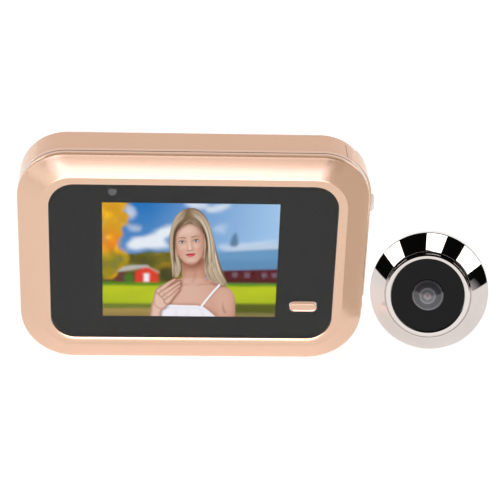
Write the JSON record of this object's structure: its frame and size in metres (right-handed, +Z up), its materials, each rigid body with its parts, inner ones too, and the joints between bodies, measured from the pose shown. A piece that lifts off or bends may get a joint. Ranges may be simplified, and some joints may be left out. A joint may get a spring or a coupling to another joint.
{
  "type": "peephole door camera",
  "caption": "Indoor screen unit on its lower edge with a round chrome camera head and threaded barrel lying beside it; button, side cover, power key and slide switch move.",
  "frame": {"origin": "middle of the monitor's resting face, at half its width and half its depth", "axes": "+X along the monitor's width towards the camera head, +Y from the screen towards the monitor's back, +Z up"},
  "size_m": [0.1337, 0.0431, 0.065],
  "materials": {
    "gold_plastic": "satin champagne gold paint",
    "lip_plastic": "satin pale gold",
    "clear_pane": "clear acrylic, polished",
    "black_print": "black screen print",
    "display": "polished display glass",
    "white_film": "diffuser film",
    "steel": "stamped sheet",
    "screw_steel": "zinc plated",
    "foam": "foam tape",
    "ribbon_film": "polyimide film",
    "black_plastic": "moulded",
    "light_pipe": "smoked clear",
    "led_white": "led package",
    "board_green": "solder mask",
    "chip_black": "epoxy package",
    "silver_key": "silver plated plastic",
    "battery_wrap": "foil pouch",
    "chrome": "polished",
    "rubber": "moulded rubber",
    "lens_glass": "polished lens",
    "sensor_glass": "sensor with cover glass",
    "barrel_metal": "machined thread"
  },
  "bodies": {
    "monitor": {"front_frame": "gold_plastic", "front_window": "clear_pane", "window_print": "black_print", "lcd_glass": "display", "lcd_backlight": "white_film", "lcd_tray": "steel", "lcd_foam": "foam", "lcd_ribbon": "ribbon_film", "ribbon_socket": "black_plastic", "indicator_lens": "light_pipe", "indicator_led": "led_white", "button_switch": "black_plastic", "main_board": "board_green", "board_chips": "chip_black", "shield_can": "steel", "board_screws": "screw_steel", "battery_pack": "battery_wrap", "battery_pad": "foam", "camera_socket": "black_plastic", "rear_case": "gold_plastic", "case_screws": "screw_steel", "key_switch": "black_plastic", "usb_socket": "steel", "card_slot": "steel", "slide_switch": "black_plastic"},
    "front_button": {"button_cap": "lip_plastic"},
    "side_door": {"side_cover": "gold_plastic"},
    "side_key": {"power_key": "silver_key"},
    "mode_slider": {"slide_knob": "gold_plastic"},
    "camera_head": {"camera_flange": "chrome", "flange_gasket": "rubber", "lens_window": "black_print", "front_lens": "lens_glass", "lens_tube": "black_plastic", "inner_lens": "lens_glass", "lens_holder": "black_plastic", "image_sensor": "sensor_glass", "camera_board": "board_green", "camera_screws": "screw_steel", "camera_barrel": "barrel_metal", "cable_grommet": "rubber"}
  },
  "joints": [
    {"name": "front_button_press", "type": "slide", "parent": "monitor", "child": "front_button", "axis": [0, 1, 0], "range_m": [0, 0.0004], "stiffness_N_per_m": 800, "springref_m": -0.0005},
    {"name": "side_cover_off", "type": "slide", "parent": "monitor", "child": "side_door", "axis": [0.5, 0, 0.866], "range_m": [0, 0.025]},
    {"name": "power_key_press", "type": "slide", "parent": "side_door", "child": "side_key", "axis": [-1, 0, 0], "range_m": [0, 0.00035], "stiffness_N_per_m": 800, "springref_m": -0.0005},
    {"name": "mode_slider_travel", "type": "slide", "parent": "monitor", "child": "mode_slider", "axis": [0, 0, 1], "range_m": [0, 0.0018]},
    {"name": "camera_head_away", "type": "slide", "parent": "monitor", "child": "camera_head", "axis": [1, 0, 0], "range_m": [0, 0.06]}
  ]
}
